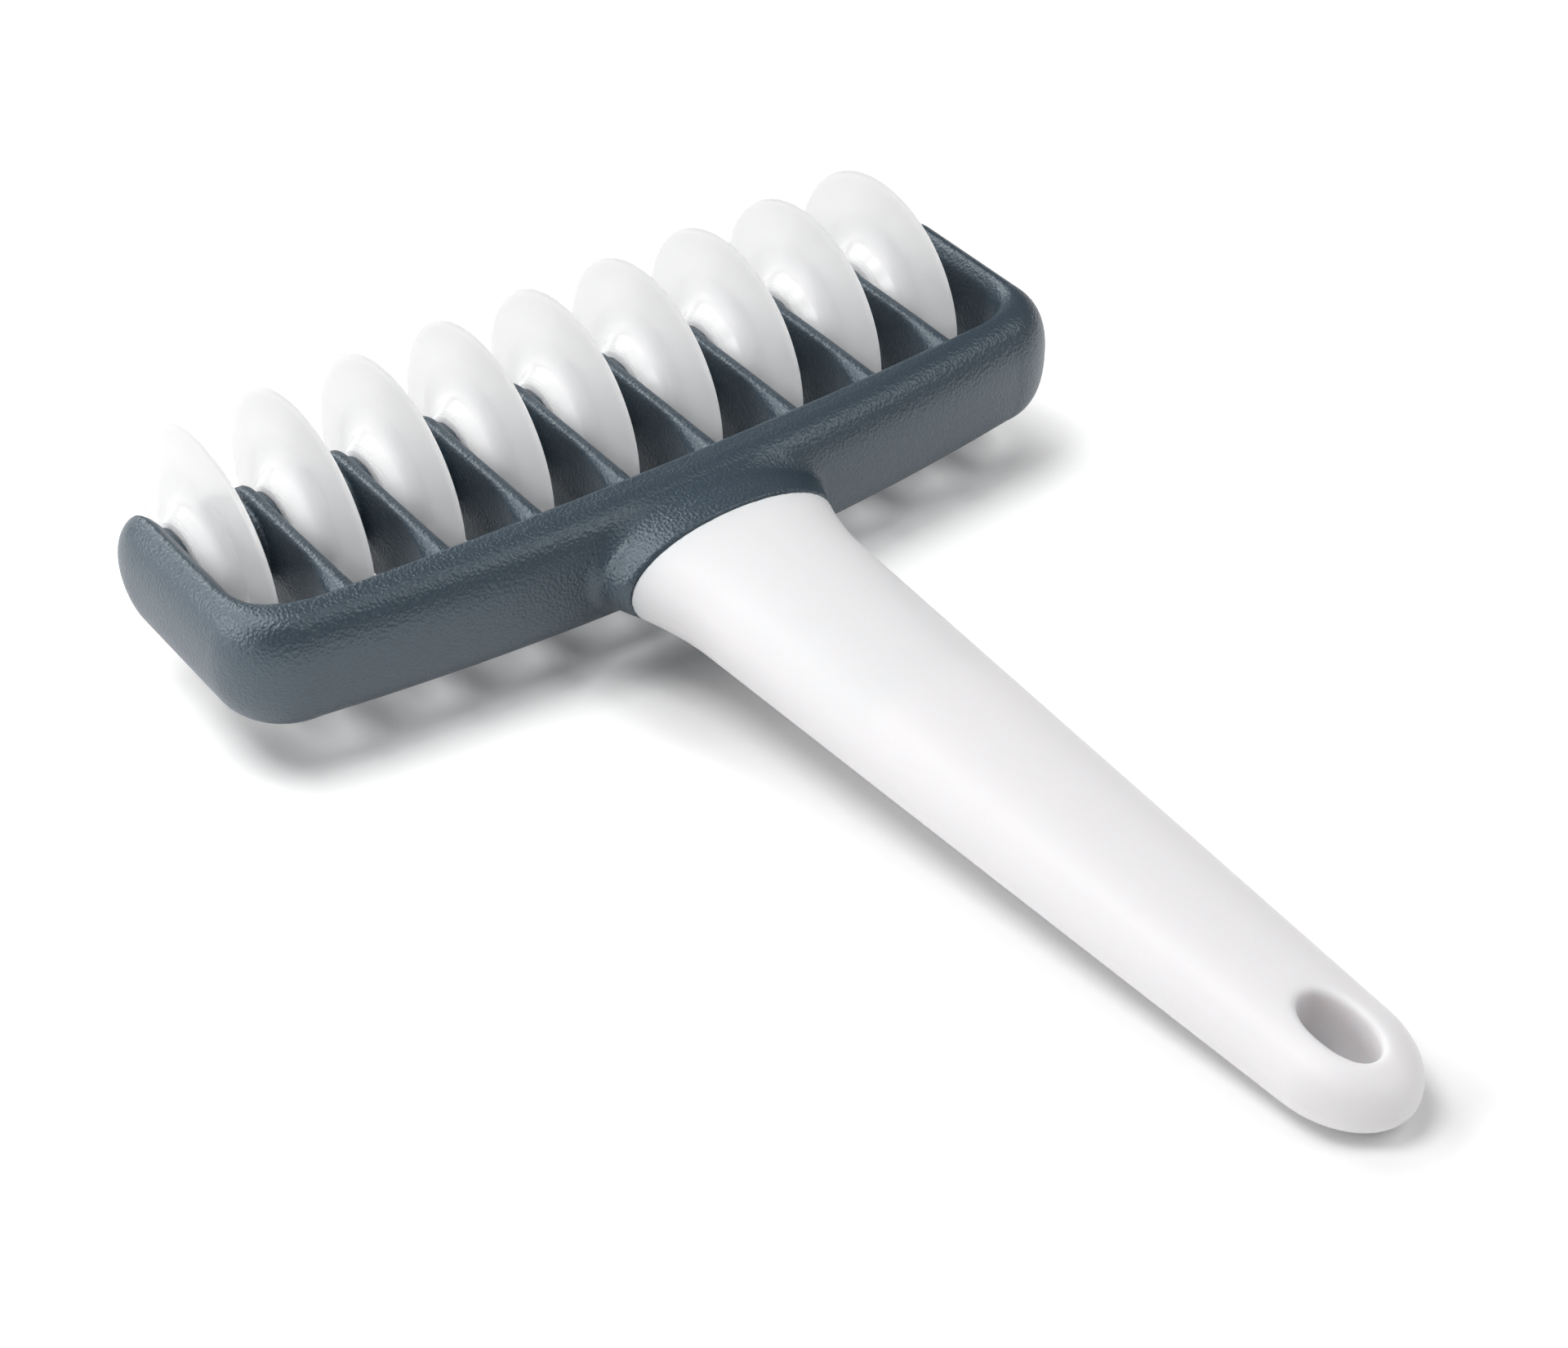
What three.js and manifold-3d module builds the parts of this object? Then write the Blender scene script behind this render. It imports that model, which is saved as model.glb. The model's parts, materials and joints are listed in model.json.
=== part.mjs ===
// Pastry roller cutter: nine cutting discs that turn freely on one axle, a comb-shaped frame and a moulded handle.
// Millimetres. In the tool's own frame X runs along the axle, +Y points ahead of the discs, the handle lies along -Y
// and Z is the tool's thickness. The finished group lies as the tool rests on a table: on its discs and handle end.

import * as THREE from 'three';
import { mergeVertices } from 'three/addons/utils/BufferGeometryUtils.js';
import Module from 'manifold-3d';

const wasm = await Module();
wasm.setup();

// Cutting discs
const DISC_COUNT = 9;
const DISC_PITCH = 14;
const DISC_DIAMETER = 37.4;
const RIM_BEVEL = 1.5;
const WEB_EDGE_WIDTH = 1.3;
const WEB_ROOT_WIDTH = 2;
const HUB_DIAMETER = 12.6;
const HUB_FLARE = 5.4;

// Axle and the plug that closes its bore
const AXLE_DIAMETER = 3;
const PLUG_DIAMETER = 5;
const PLUG_DEPTH = 1.6;
const BLIND_WALL = 1.6;

// Comb frame
const FRAME_HEIGHT = 17.6;
const RIB_WIDTH = 2.4;
const RIB_ROUND = 0.95;
const RIB_DROP = 0.9;
const ROOT_FILLET = 3;
const BOSS_DIAMETER = 12.8;
const BOSS_REACH = 1.3;
const BOSS_CHAMFER = 0.4;
const END_SPACE = 6.6;
const ARM_WIDTH = 4.6;
const WALL_ROUND = 1.4;
const ARM_EDGE_ROUND = 2.4;
const BAR_DISTANCE = 26.8;
const BAR_DEPTH = 7;
const BAR_BOW = 2;
const OUTER_CORNER = 12;
const INNER_CORNER = 9.5;

// Neck and the tang that holds the handle
const JOINT_WIDTH = 33;
const JOINT_HEIGHT = 15.8;
const JOINT_FULLNESS = 2.1;
const JOINT_DISTANCE = 40;
const NECK_FILLET = 4.5;
const TANG_WIDTH = 16;
const TANG_HEIGHT = 8;
const TANG_LENGTH = 40;
const TANG_ROUND = 1.5;

// Handle
const HANDLE_LENGTH = 124;
const GRIP_WIDTH = 28.8;
const FLARE_LENGTH = 12;
const TAIL_WIDTH = 17.2;
const TAIL_HEIGHT = 10.6;
const TAIL_FULLNESS = 2.5;
const END_LENGTH = 11;
const END_FULLNESS = 2.3;
const HOLE_LENGTH = 12;
const HOLE_WIDTH = 6.8;
const HOLE_FLARE = 1;
const HOLE_TO_END = 11.5;

// Clearances
const HUB_PLAY = 0.3;
const BORE_PLAY = 0.08;
const ROD_END_PLAY = 0.3;
const PLUG_PLAY = 0.3;
const JOINT_GAP = 0.3;
const TANG_PLAY = 0.3;

// Fineness of the round forms
const DISC_SEGMENTS = 24;
const FLARE_STEPS = 3;
const BOSS_SEGMENTS = 18;
const BORE_SEGMENTS = 16;
const ROUND_STEPS = 2;
const TURN_STEPS = 5;
const FILLET_STEPS = 2;
const LOFT_STEPS = 7;
const SECTION_SEGMENTS = 36;
const CUT_PAST = 1;
const SEAM_STEP = 0.05;
const WELD_DISTANCE = 1e-4;
const STEEPEST_REST = Math.PI / 6;
const HALVINGS = 40;

// Sizes that follow from the driving ones
const discRadius = DISC_DIAMETER / 2;
const boreRadius = AXLE_DIAMETER / 2 + BORE_PLAY;
const bossFace = RIB_WIDTH / 2 + BOSS_REACH;
const hubHalf = DISC_PITCH / 2 - bossFace - HUB_PLAY;
const outerDiscX = (DISC_PITCH * (DISC_COUNT - 1)) / 2;
const armInnerX = outerDiscX + END_SPACE;
const frameHalfWidth = armInnerX + ARM_WIDTH;
const frameHalfHeight = FRAME_HEIGHT / 2;
const barOuterDistance = BAR_DISTANCE + BAR_DEPTH;
const innerBowHalf = armInnerX - INNER_CORNER;
const outerBowHalf = frameHalfWidth - OUTER_CORNER;
const handleFront = JOINT_DISTANCE + JOINT_GAP;
const handleEnd = handleFront + HANDLE_LENGTH;
const holeCentre = handleEnd - HOLE_TO_END;
const rodHalf = frameHalfWidth - BLIND_WALL - ROD_END_PLAY;

// A closed geometry as a solid whose faces point outwards
function solid(geometry) {
  const bare = geometry.clone();
  bare.deleteAttribute('normal');
  bare.deleteAttribute('uv');
  const merged = mergeVertices(bare, WELD_DISTANCE);
  const mesh = new wasm.Mesh({
    numProp: 3,
    vertProperties: new Float32Array(merged.attributes.position.array),
    triVerts: new Uint32Array(merged.index.array),
  });
  const made = new wasm.Manifold(mesh);
  if (made.volume() > 0) {
    return made;
  }
  mesh.triVerts.reverse();
  return new wasm.Manifold(mesh);
}

// A solid's surface as a three.js geometry with flat faces
function surface(body) {
  const mesh = body.getMesh();
  const geometry = new THREE.BufferGeometry();
  geometry.setAttribute('position', new THREE.BufferAttribute(mesh.vertProperties, 3));
  geometry.setIndex(new THREE.BufferAttribute(mesh.triVerts, 1));
  return geometry;
}

// An outline in XY as a plate of the given thickness about Z = 0, with both its rims rounded
function roundedPlate(shape, thickness, round, curveSegments) {
  const geometry = new THREE.ExtrudeGeometry(shape, {
    depth: thickness - 2 * round,
    bevelThickness: round,
    bevelSize: round,
    bevelOffset: -round,
    bevelSegments: ROUND_STEPS,
    curveSegments,
  });
  return geometry.translate(0, 0, round - thickness / 2);
}

// Turns a plate drawn in XY so that its outline lies in YZ and its thickness along X
function standAcross(geometry) {
  const yAxis = new THREE.Vector3(0, 1, 0);
  const zAxis = new THREE.Vector3(0, 0, 1);
  const xAxis = new THREE.Vector3(1, 0, 0);
  return geometry.applyMatrix4(new THREE.Matrix4().makeBasis(yAxis, zAxis, xAxis));
}

// A turned piece along X from [x, radius] points
function turned(points, segments) {
  const profile = points.map(([x, radius]) => new THREE.Vector2(radius, x));
  return new THREE.LatheGeometry(profile, segments).rotateZ(-Math.PI / 2);
}

// A plain cylinder along X
function rod(fromX, toX, radius, segments) {
  return turned([[fromX, 0], [fromX, radius], [toX, radius], [toX, 0]], segments);
}

// A closed skin through superellipse sections, each { y, halfWidth, halfHeight, power }
function loft(sections) {
  const positions = [];
  const index = [];
  for (const { y, halfWidth, halfHeight, power } of sections) {
    for (let i = 0; i < SECTION_SEGMENTS; i += 1) {
      const angle = (2 * Math.PI * i) / SECTION_SEGMENTS;
      const across = Math.cos(angle);
      const up = Math.sin(angle);
      positions.push(Math.sign(across) * halfWidth * Math.abs(across) ** (2 / power), y);
      positions.push(Math.sign(up) * halfHeight * Math.abs(up) ** (2 / power));
    }
  }
  for (let ring = 0; ring < sections.length - 1; ring += 1) {
    for (let i = 0; i < SECTION_SEGMENTS; i += 1) {
      const a = ring * SECTION_SEGMENTS + i;
      const b = ring * SECTION_SEGMENTS + ((i + 1) % SECTION_SEGMENTS);
      index.push(a, b, b + SECTION_SEGMENTS, a, b + SECTION_SEGMENTS, a + SECTION_SEGMENTS);
    }
  }
  const lastRing = (sections.length - 1) * SECTION_SEGMENTS;
  const firstCentre = positions.length / 3;
  positions.push(0, sections[0].y, 0, 0, sections[sections.length - 1].y, 0);
  for (let i = 0; i < SECTION_SEGMENTS; i += 1) {
    const next = (i + 1) % SECTION_SEGMENTS;
    index.push(firstCentre, next, i, firstCentre + 1, lastRing + i, lastRing + next);
  }
  const geometry = new THREE.BufferGeometry();
  geometry.setAttribute('position', new THREE.Float32BufferAttribute(positions, 3));
  geometry.setIndex(index);
  return geometry;
}

// One disc: a sharp rim, a web that thickens inwards and a trumpet-shaped hub on both sides
function discGeometry() {
  const hubRadius = HUB_DIAMETER / 2;
  const flareRadius = hubRadius + HUB_FLARE;
  const webRoot = WEB_ROOT_WIDTH / 2;
  const trumpet = new THREE.QuadraticBezierCurve(
    new THREE.Vector2(hubHalf, hubRadius),
    new THREE.Vector2(webRoot, hubRadius + SEAM_STEP),
    new THREE.Vector2(webRoot, flareRadius),
  );
  const side = [[hubHalf, boreRadius]];
  for (const point of trumpet.getPoints(FLARE_STEPS)) {
    side.push([point.x, point.y]);
  }
  side.push([WEB_EDGE_WIDTH / 2, discRadius - RIM_BEVEL]);
  const mirrored = side.map(([x, radius]) => [-x, radius]).reverse();
  const rim = [0, discRadius];
  return turned([...side, rim, ...mirrored, side[0]], DISC_SEGMENTS);
}

// Side outline of an arm or rib in YZ: a round tip about the axle and straight edges back to the bar
function tongueOutline(halfHeight, backDistance) {
  const shape = new THREE.Shape();
  shape.moveTo(-backDistance, -halfHeight);
  shape.lineTo(0, -halfHeight);
  shape.absarc(0, 0, halfHeight, -Math.PI / 2, Math.PI / 2, false);
  shape.lineTo(-backDistance, halfHeight);
  shape.closePath();
  return shape;
}

// How far behind the axle the bar's inner face lies at a given X
function barInnerAt(x) {
  return BAR_DISTANCE - BAR_BOW * (x / innerBowHalf) ** 2;
}

// Plan of the frame's wall: the two arms, the round corners and the slightly bowed bar
function wallOutline() {
  const tip = frameHalfHeight;
  const outerEnd = barOuterDistance - BAR_BOW;
  const innerEnd = BAR_DISTANCE - BAR_BOW;
  const outerTurn = OUTER_CORNER - outerEnd;
  const innerTurn = INNER_CORNER - innerEnd;
  const shape = new THREE.Shape();
  shape.moveTo(-frameHalfWidth, tip);
  shape.lineTo(-frameHalfWidth, outerTurn);
  shape.absarc(-outerBowHalf, outerTurn, OUTER_CORNER, Math.PI, 1.5 * Math.PI, false);
  shape.quadraticCurveTo(0, -outerEnd - 2 * BAR_BOW, outerBowHalf, -outerEnd);
  shape.absarc(outerBowHalf, outerTurn, OUTER_CORNER, -Math.PI / 2, 0, false);
  shape.lineTo(frameHalfWidth, tip);
  shape.lineTo(armInnerX, tip);
  shape.lineTo(armInnerX, innerTurn);
  shape.absarc(innerBowHalf, innerTurn, INNER_CORNER, 0, -Math.PI / 2, true);
  shape.quadraticCurveTo(0, -innerEnd - 2 * BAR_BOW, -innerBowHalf, -innerEnd);
  shape.absarc(-innerBowHalf, innerTurn, INNER_CORNER, 1.5 * Math.PI, Math.PI, true);
  shape.lineTo(-armInnerX, tip);
  shape.closePath();
  return shape;
}

// Plan of a rib's root, which widens in two concave fillets into the bar's inner face
function rootOutline(face) {
  const half = RIB_WIDTH / 2 - SEAM_STEP;
  const wide = half + ROOT_FILLET;
  const front = ROOT_FILLET - face;
  const back = -face - BAR_DEPTH / 2;
  const shape = new THREE.Shape();
  shape.moveTo(-half, front);
  shape.absarc(-wide, front, ROOT_FILLET, 0, -Math.PI / 2, true);
  shape.lineTo(-wide, back);
  shape.lineTo(wide, back);
  shape.lineTo(wide, -face);
  shape.absarc(wide, front, ROOT_FILLET, 1.5 * Math.PI, Math.PI, true);
  shape.closePath();
  return shape;
}

// The U-shaped wall, with its arms' tips rounded about the axle and their outer edges softened
function frameWall() {
  const plan = solid(roundedPlate(wallOutline(), FRAME_HEIGHT, WALL_ROUND, TURN_STEPS));
  const side = tongueOutline(frameHalfHeight, barOuterDistance + OUTER_CORNER);
  const envelope = roundedPlate(side, 2 * frameHalfWidth, ARM_EDGE_ROUND, TURN_STEPS);
  return plan.intersect(solid(standAcross(envelope)));
}

// A rib between two discs with its root in the bar, and the round boss that keeps the hubs off it
function frameRib(x) {
  const face = barInnerAt(x);
  const ribHalfHeight = frameHalfHeight - RIB_DROP;
  const side = tongueOutline(ribHalfHeight, face + BAR_DEPTH / 2);
  const blade = roundedPlate(side, RIB_WIDTH, RIB_ROUND, TURN_STEPS);
  const root = roundedPlate(rootOutline(face), 2 * (ribHalfHeight - SEAM_STEP), RIB_ROUND, FILLET_STEPS);
  const rib = solid(standAcross(blade)).add(solid(root));
  return rib.add(solid(bossGeometry(-bossFace, bossFace))).translate([x, 0, 0]);
}

// A boss about the axle with small chamfers
function bossGeometry(fromX, toX) {
  const radius = BOSS_DIAMETER / 2;
  const flat = radius - BOSS_CHAMFER;
  const start = [[fromX, 0], [fromX, flat], [fromX + BOSS_CHAMFER, radius]];
  const end = [[toX - BOSS_CHAMFER, radius], [toX, flat], [toX, 0]];
  return turned([...start, ...end], BOSS_SEGMENTS);
}

// The neck, which spreads into the bar's outer face in a concave fillet
function frameNeck() {
  const halfWidth = JOINT_WIDTH / 2;
  const halfHeight = JOINT_HEIGHT / 2;
  const power = JOINT_FULLNESS;
  const sections = [];
  for (let i = 0; i <= TURN_STEPS; i += 1) {
    const along = NECK_FILLET * (1 - Math.cos((Math.PI / 2) * (i / TURN_STEPS)));
    const spread = NECK_FILLET * (1 - Math.sin((Math.PI / 2) * (i / TURN_STEPS)));
    sections.push({ y: -barOuterDistance - along, halfWidth: halfWidth + spread, halfHeight, power });
  }
  const start = { ...sections[0], y: BAR_DEPTH / 2 - barOuterDistance };
  const end = { ...sections[TURN_STEPS], y: -JOINT_DISTANCE };
  return solid(loft([start, ...sections, end]));
}

// A bar of rectangular section with rounded corners, from one distance behind the axle to another
function tangGeometry(from, to, play) {
  const halfWidth = TANG_WIDTH / 2 + play;
  const halfHeight = TANG_HEIGHT / 2 + play;
  const shape = new THREE.Shape();
  shape.moveTo(-halfWidth + TANG_ROUND, -halfHeight);
  shape.absarc(halfWidth - TANG_ROUND, TANG_ROUND - halfHeight, TANG_ROUND, -Math.PI / 2, 0, false);
  shape.absarc(halfWidth - TANG_ROUND, halfHeight - TANG_ROUND, TANG_ROUND, 0, Math.PI / 2, false);
  shape.absarc(TANG_ROUND - halfWidth, halfHeight - TANG_ROUND, TANG_ROUND, Math.PI / 2, Math.PI, false);
  shape.absarc(TANG_ROUND - halfWidth, TANG_ROUND - halfHeight, TANG_ROUND, Math.PI, 1.5 * Math.PI, false);
  const options = { depth: to - from, bevelEnabled: false, curveSegments: FILLET_STEPS };
  return new THREE.ExtrudeGeometry(shape, options).rotateX(Math.PI / 2).translate(0, -from, 0);
}

// The comb frame: wall, ribs with bosses, neck and tang, bored for the axle from the right-hand arm
function frameGeometry() {
  let body = frameWall();
  for (let i = 1; i < DISC_COUNT; i += 1) {
    body = body.add(frameRib(DISC_PITCH * i - outerDiscX - DISC_PITCH / 2));
  }
  const armBossFace = outerDiscX + hubHalf + HUB_PLAY;
  const armMiddle = armInnerX + ARM_WIDTH / 2;
  body = body.add(solid(bossGeometry(armBossFace, armMiddle)));
  body = body.add(solid(bossGeometry(-armMiddle, -armBossFace)));
  body = body.add(frameNeck());
  body = body.add(solid(tangGeometry(barOuterDistance, JOINT_DISTANCE + TANG_LENGTH, 0)));
  const plugRadius = PLUG_DIAMETER / 2 + PLUG_PLAY;
  const past = frameHalfWidth + CUT_PAST;
  body = body.subtract(solid(rod(BLIND_WALL - frameHalfWidth, past, boreRadius, BORE_SEGMENTS)));
  return surface(body.subtract(solid(rod(frameHalfWidth - PLUG_DEPTH, past, plugRadius, BORE_SEGMENTS))));
}

// Half the handle's width at a distance behind its front: a straight taper, a flare in front and a round end
function handleHalfWidth(along) {
  const taper = (GRIP_WIDTH - TAIL_WIDTH) / 2 / (HANDLE_LENGTH - HOLE_TO_END);
  const flare = Math.max(0, 1 - along / FLARE_LENGTH) ** 2;
  return GRIP_WIDTH / 2 - taper * along + flare * (JOINT_WIDTH - GRIP_WIDTH) / 2;
}

function handleHalfHeight(along) {
  const taper = (JOINT_HEIGHT - TAIL_HEIGHT) / 2 / (HANDLE_LENGTH - HOLE_TO_END);
  return JOINT_HEIGHT / 2 - taper * along;
}

// The handle's sections grow squarer from the joint to the tail, and the last few close in a round end
function handleSections() {
  const endStart = HANDLE_LENGTH - END_LENGTH;
  const sections = [];
  const add = (along, widthShare, heightShare) => {
    sections.push({
      y: -handleFront - along,
      halfWidth: handleHalfWidth(along) * widthShare,
      halfHeight: handleHalfHeight(along) * heightShare,
      power: THREE.MathUtils.lerp(JOINT_FULLNESS, TAIL_FULLNESS, along / HANDLE_LENGTH),
    });
  };
  for (let i = 0; i < LOFT_STEPS; i += 1) {
    add((FLARE_LENGTH * i) / LOFT_STEPS, 1, 1);
  }
  for (let i = 0; i < LOFT_STEPS; i += 1) {
    add(THREE.MathUtils.lerp(FLARE_LENGTH, endStart, i / LOFT_STEPS), 1, 1);
  }
  for (let i = 0; i < LOFT_STEPS; i += 1) {
    const reach = Math.sin((Math.PI / 2) * (i / LOFT_STEPS));
    const heightShare = (1 - reach ** END_FULLNESS) ** (1 / END_FULLNESS);
    add(endStart + END_LENGTH * reach, Math.sqrt(1 - reach ** 2), heightShare);
  }
  return sections;
}

// Cutter for the oval hang hole, whose mouths widen towards both faces
function hangHole() {
  const halfWidth = HOLE_WIDTH / 2;
  const straight = (HOLE_LENGTH - HOLE_WIDTH) / 2;
  const shape = new THREE.Shape();
  shape.absarc(0, straight - holeCentre, halfWidth, 0, Math.PI, false);
  shape.absarc(0, -straight - holeCentre, halfWidth, Math.PI, 2 * Math.PI, false);
  shape.closePath();
  const depth = TAIL_HEIGHT - 2 * HOLE_FLARE;
  const geometry = new THREE.ExtrudeGeometry(shape, {
    depth,
    bevelThickness: 2 * HOLE_FLARE,
    bevelSize: -2 * HOLE_FLARE,
    bevelOffset: 2 * HOLE_FLARE,
    bevelSegments: ROUND_STEPS + 1,
    curveSegments: TURN_STEPS,
  });
  return solid(geometry.translate(0, 0, -depth / 2));
}

// The handle: a lofted grip with a socket for the frame's tang and a hang hole through its tail
function handleGeometry() {
  const socketEnd = JOINT_DISTANCE + TANG_LENGTH + TANG_PLAY;
  const socket = solid(tangGeometry(handleFront - CUT_PAST, socketEnd, TANG_PLAY));
  return surface(solid(loft(handleSections())).subtract(socket).subtract(hangHole()));
}

// The angle about X at which the handle's tail just meets the table that the discs stand on
function restTilt(geometry) {
  const position = geometry.attributes.position;
  let low = 0;
  let high = STEEPEST_REST;
  for (let step = 0; step < HALVINGS; step += 1) {
    const tilt = (low + high) / 2;
    let lowest = Infinity;
    for (let i = 0; i < position.count; i += 1) {
      lowest = Math.min(lowest, position.getY(i) * Math.sin(tilt) + position.getZ(i) * Math.cos(tilt));
    }
    if (lowest > -discRadius) {
      low = tilt;
    } else {
      high = tilt;
    }
  }
  return low;
}

// Finishes
const slatePlastic = new THREE.MeshStandardMaterial({ color: 0x3a444e, roughness: 0.5, metalness: 0 });
const whitePlastic = new THREE.MeshStandardMaterial({ color: 0xf0f0ee, roughness: 0.3, metalness: 0 });
const discPlastic = new THREE.MeshStandardMaterial({ color: 0xf2f2f1, roughness: 0.4, metalness: 0 });
const steel = new THREE.MeshStandardMaterial({ color: 0xb4b8bc, roughness: 0.3, metalness: 1 });

function named(name, geometry, material) {
  const mesh = new THREE.Mesh(geometry, material);
  mesh.name = name;
  return mesh;
}

// Assembly, then the turn and lift that lay the tool on the table with the origin under its middle
const tool = new THREE.Group();
const handle = named('handle', handleGeometry(), whitePlastic);
tool.add(named('comb_frame', frameGeometry(), slatePlastic), handle);
tool.rotation.x = restTilt(handle.geometry);
const axleRadius = AXLE_DIAMETER / 2;
tool.add(named('axle_rod', surface(solid(rod(-rodHalf, rodHalf, axleRadius, BORE_SEGMENTS))), steel));
const plug = rod(frameHalfWidth - PLUG_DEPTH + PLUG_PLAY, frameHalfWidth, PLUG_DIAMETER / 2, BORE_SEGMENTS);
tool.add(named('axle_plug', surface(solid(plug)), slatePlastic));
const disc = surface(solid(discGeometry()));
for (let i = 0; i < DISC_COUNT; i += 1) {
  const cutter = named(`cutting_disc_${i + 1}`, disc, discPlastic);
  cutter.position.x = DISC_PITCH * i - outerDiscX;
  cutter.rotation.x = -tool.rotation.x;
  tool.add(cutter);
}

const rollerCutter = new THREE.Group();
rollerCutter.add(tool);
const bounds = new THREE.Box3().setFromObject(rollerCutter, true);
const middle = bounds.getCenter(new THREE.Vector3());
tool.position.set(-middle.x, -middle.y, -bounds.min.z);

export default rollerCutter;
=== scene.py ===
"""Pastry roller cutter: a comb-shaped frame, nine free discs on one axle and a tapered handle."""

import json
import math

import bpy
from mathutils import Matrix, Vector


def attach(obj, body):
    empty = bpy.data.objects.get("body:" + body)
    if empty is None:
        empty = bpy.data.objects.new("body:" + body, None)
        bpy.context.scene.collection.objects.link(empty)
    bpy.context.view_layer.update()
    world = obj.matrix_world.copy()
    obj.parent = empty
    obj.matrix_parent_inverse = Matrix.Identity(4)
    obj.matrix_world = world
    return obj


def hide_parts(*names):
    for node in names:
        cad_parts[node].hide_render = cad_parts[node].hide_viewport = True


bl_info = {
    "name": "Pastry Roller Cutter",
    "version": (1, 0, 0),
    "blender": (4, 5, 0),
    "location": "View3D > Sidebar > Roller Cutter",
    "description": "Builds the finished look of a pastry roller cutter around its packed model",
    "category": "Object",
}

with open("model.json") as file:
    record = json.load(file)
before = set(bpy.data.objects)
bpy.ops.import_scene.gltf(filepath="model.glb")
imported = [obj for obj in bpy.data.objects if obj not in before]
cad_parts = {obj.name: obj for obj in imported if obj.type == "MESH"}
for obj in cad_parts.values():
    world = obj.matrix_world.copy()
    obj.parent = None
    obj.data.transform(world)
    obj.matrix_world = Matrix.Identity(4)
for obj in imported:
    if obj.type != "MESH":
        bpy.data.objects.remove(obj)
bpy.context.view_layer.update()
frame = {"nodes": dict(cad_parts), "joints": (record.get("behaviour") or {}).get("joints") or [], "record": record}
JOINTS = frame["joints"]
AXLE = Vector((0.0, *JOINTS[0]["pos_m"][1:]))
HANG_HOLE = frame["record"]["mounts"][0]
REST_TILT = math.atan2(-HANG_HOLE["axis"][1], HANG_HOLE["axis"][2])
DISC_SPACING = JOINTS[1]["pos_m"][0] - JOINTS[0]["pos_m"][0]
MM = 0.001


# Properties that a user can change


def length(name, description, millimetres):
    """A length property whose default is given in millimetres."""
    return bpy.props.FloatProperty(
        name=name, description=description, default=millimetres * MM, precision=5, unit="LENGTH"
    )


def share(name, description, default):
    """A plain number."""
    return bpy.props.FloatProperty(name=name, description=description, default=default, precision=3)


def angle(name, description, radians):
    """An angle property."""
    return bpy.props.FloatProperty(name=name, description=description, default=radians, subtype="ANGLE")


def colour(name, description, rgb):
    """A colour property in linear light."""
    return bpy.props.FloatVectorProperty(
        name=name, description=description, default=rgb, size=3, min=0.0, max=1.0, subtype="COLOR"
    )


class CombFrameSizes(bpy.types.PropertyGroup):
    """Sizes of the comb-shaped frame, behind and about the axle."""

    half_width: length("Half width", "From the middle to the outer face of an arm", 67.7)
    arm_width: length("Arm width", "Thickness of an arm", 5.8)
    half_height: length("Half height", "Half the frame's height, and the radius of its tips", 8.8)
    bar_distance: length("Bar distance", "From the axle back to the inner face of the bar", 26.8)
    bar_depth: length("Bar depth", "Thickness of the bar at its middle", 8.6)
    wall_shift: length("Wall shift", "How far the wall sits to the right of the row of discs", 0.3)
    bar_bow: length("Bar bow", "How far the bar's inner face bulges at its middle", 2.0)
    outer_bow: length("Outer bow", "How far the bar's outer face bulges at its middle", 4.4)
    outer_corner: length("Outer corner", "Radius of the outer corners in plan", 10.6)
    inner_corner: length("Inner corner", "Radius of the inner corners in plan", 8.6)
    outer_depth: length("Outer bulge", "How far the bulge of the outer faces reaches inwards", 5.8)
    inner_round: length("Inner edge", "Radius of the wall's inner edges", 0.8)
    corner_round: length("Corner edge", "How much rounder the inner edges get along the arms", 2.0)
    corner_reach: length("Corner reach", "Length over which the inner edges get rounder", 9.0)
    rib_spacing: length("Rib spacing", "Distance between two ribs", DISC_SPACING / MM)
    rib_width: length("Rib width", "Thickness of a rib at the parting line", 2.6)
    rib_round: length("Rib edge", "Radius of a rib's edges", 0.55)
    rib_drop: length("Rib drop", "How far the ribs stay below the bar", 1.6)
    root_fillet: length("Root fillet", "Radius where a rib runs into the bar", 2.5)
    rib_spread: length("Rib spread", "How much wider a rib gets on each side towards the bar", 1.8)
    spread_reach: length("Spread reach", "Length over which a rib gets wider", 12.0)
    parting: length("Parting line", "Height at which the ribs are thickest", -2.0)
    boss_radius: length("Boss radius", "Radius of the bosses about the axle", 5.7)
    boss_reach: length("Boss reach", "From the middle of a rib to the face of its boss", 2.5)
    boss_round: length("Boss edge", "Radius of a boss's edge", 0.2)
    arm_boss: length("Arm boss", "From the middle to the face of an arm's boss", 60.5)
    bore_radius: length("Bore radius", "Radius of the bore for the axle", 1.58)
    plug_bore: length("Plug bore", "Radius of the recess for the plug", 2.8)
    plug_depth: length("Plug depth", "Depth of the recess for the plug", 1.6)
    neck_half_width: length("Neck half width", "Half the width of the neck at the joint", 16.5)
    neck_half_height: length("Neck half height", "Half the height of the neck at the joint", 7.9)
    neck_flare: length("Neck flare", "How much the neck widens from the joint to the bar", 2.0)
    neck_fillet: length("Neck fillet", "Radius where the neck runs into the bar", 1.6)
    joint_distance: length("Joint distance", "From the axle back to the joint with the handle", 40.0)
    joint_round: length("Joint edge", "Radius of the edge at the joint", 0.3)
    tang_half_width: length("Tang half width", "Half the width of the tang inside the handle", 8.0)
    tang_half_height: length("Tang half height", "Half the height of the tang", 4.0)
    tang_end: length("Tang end", "From the axle back to the end of the tang", 80.0)


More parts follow.
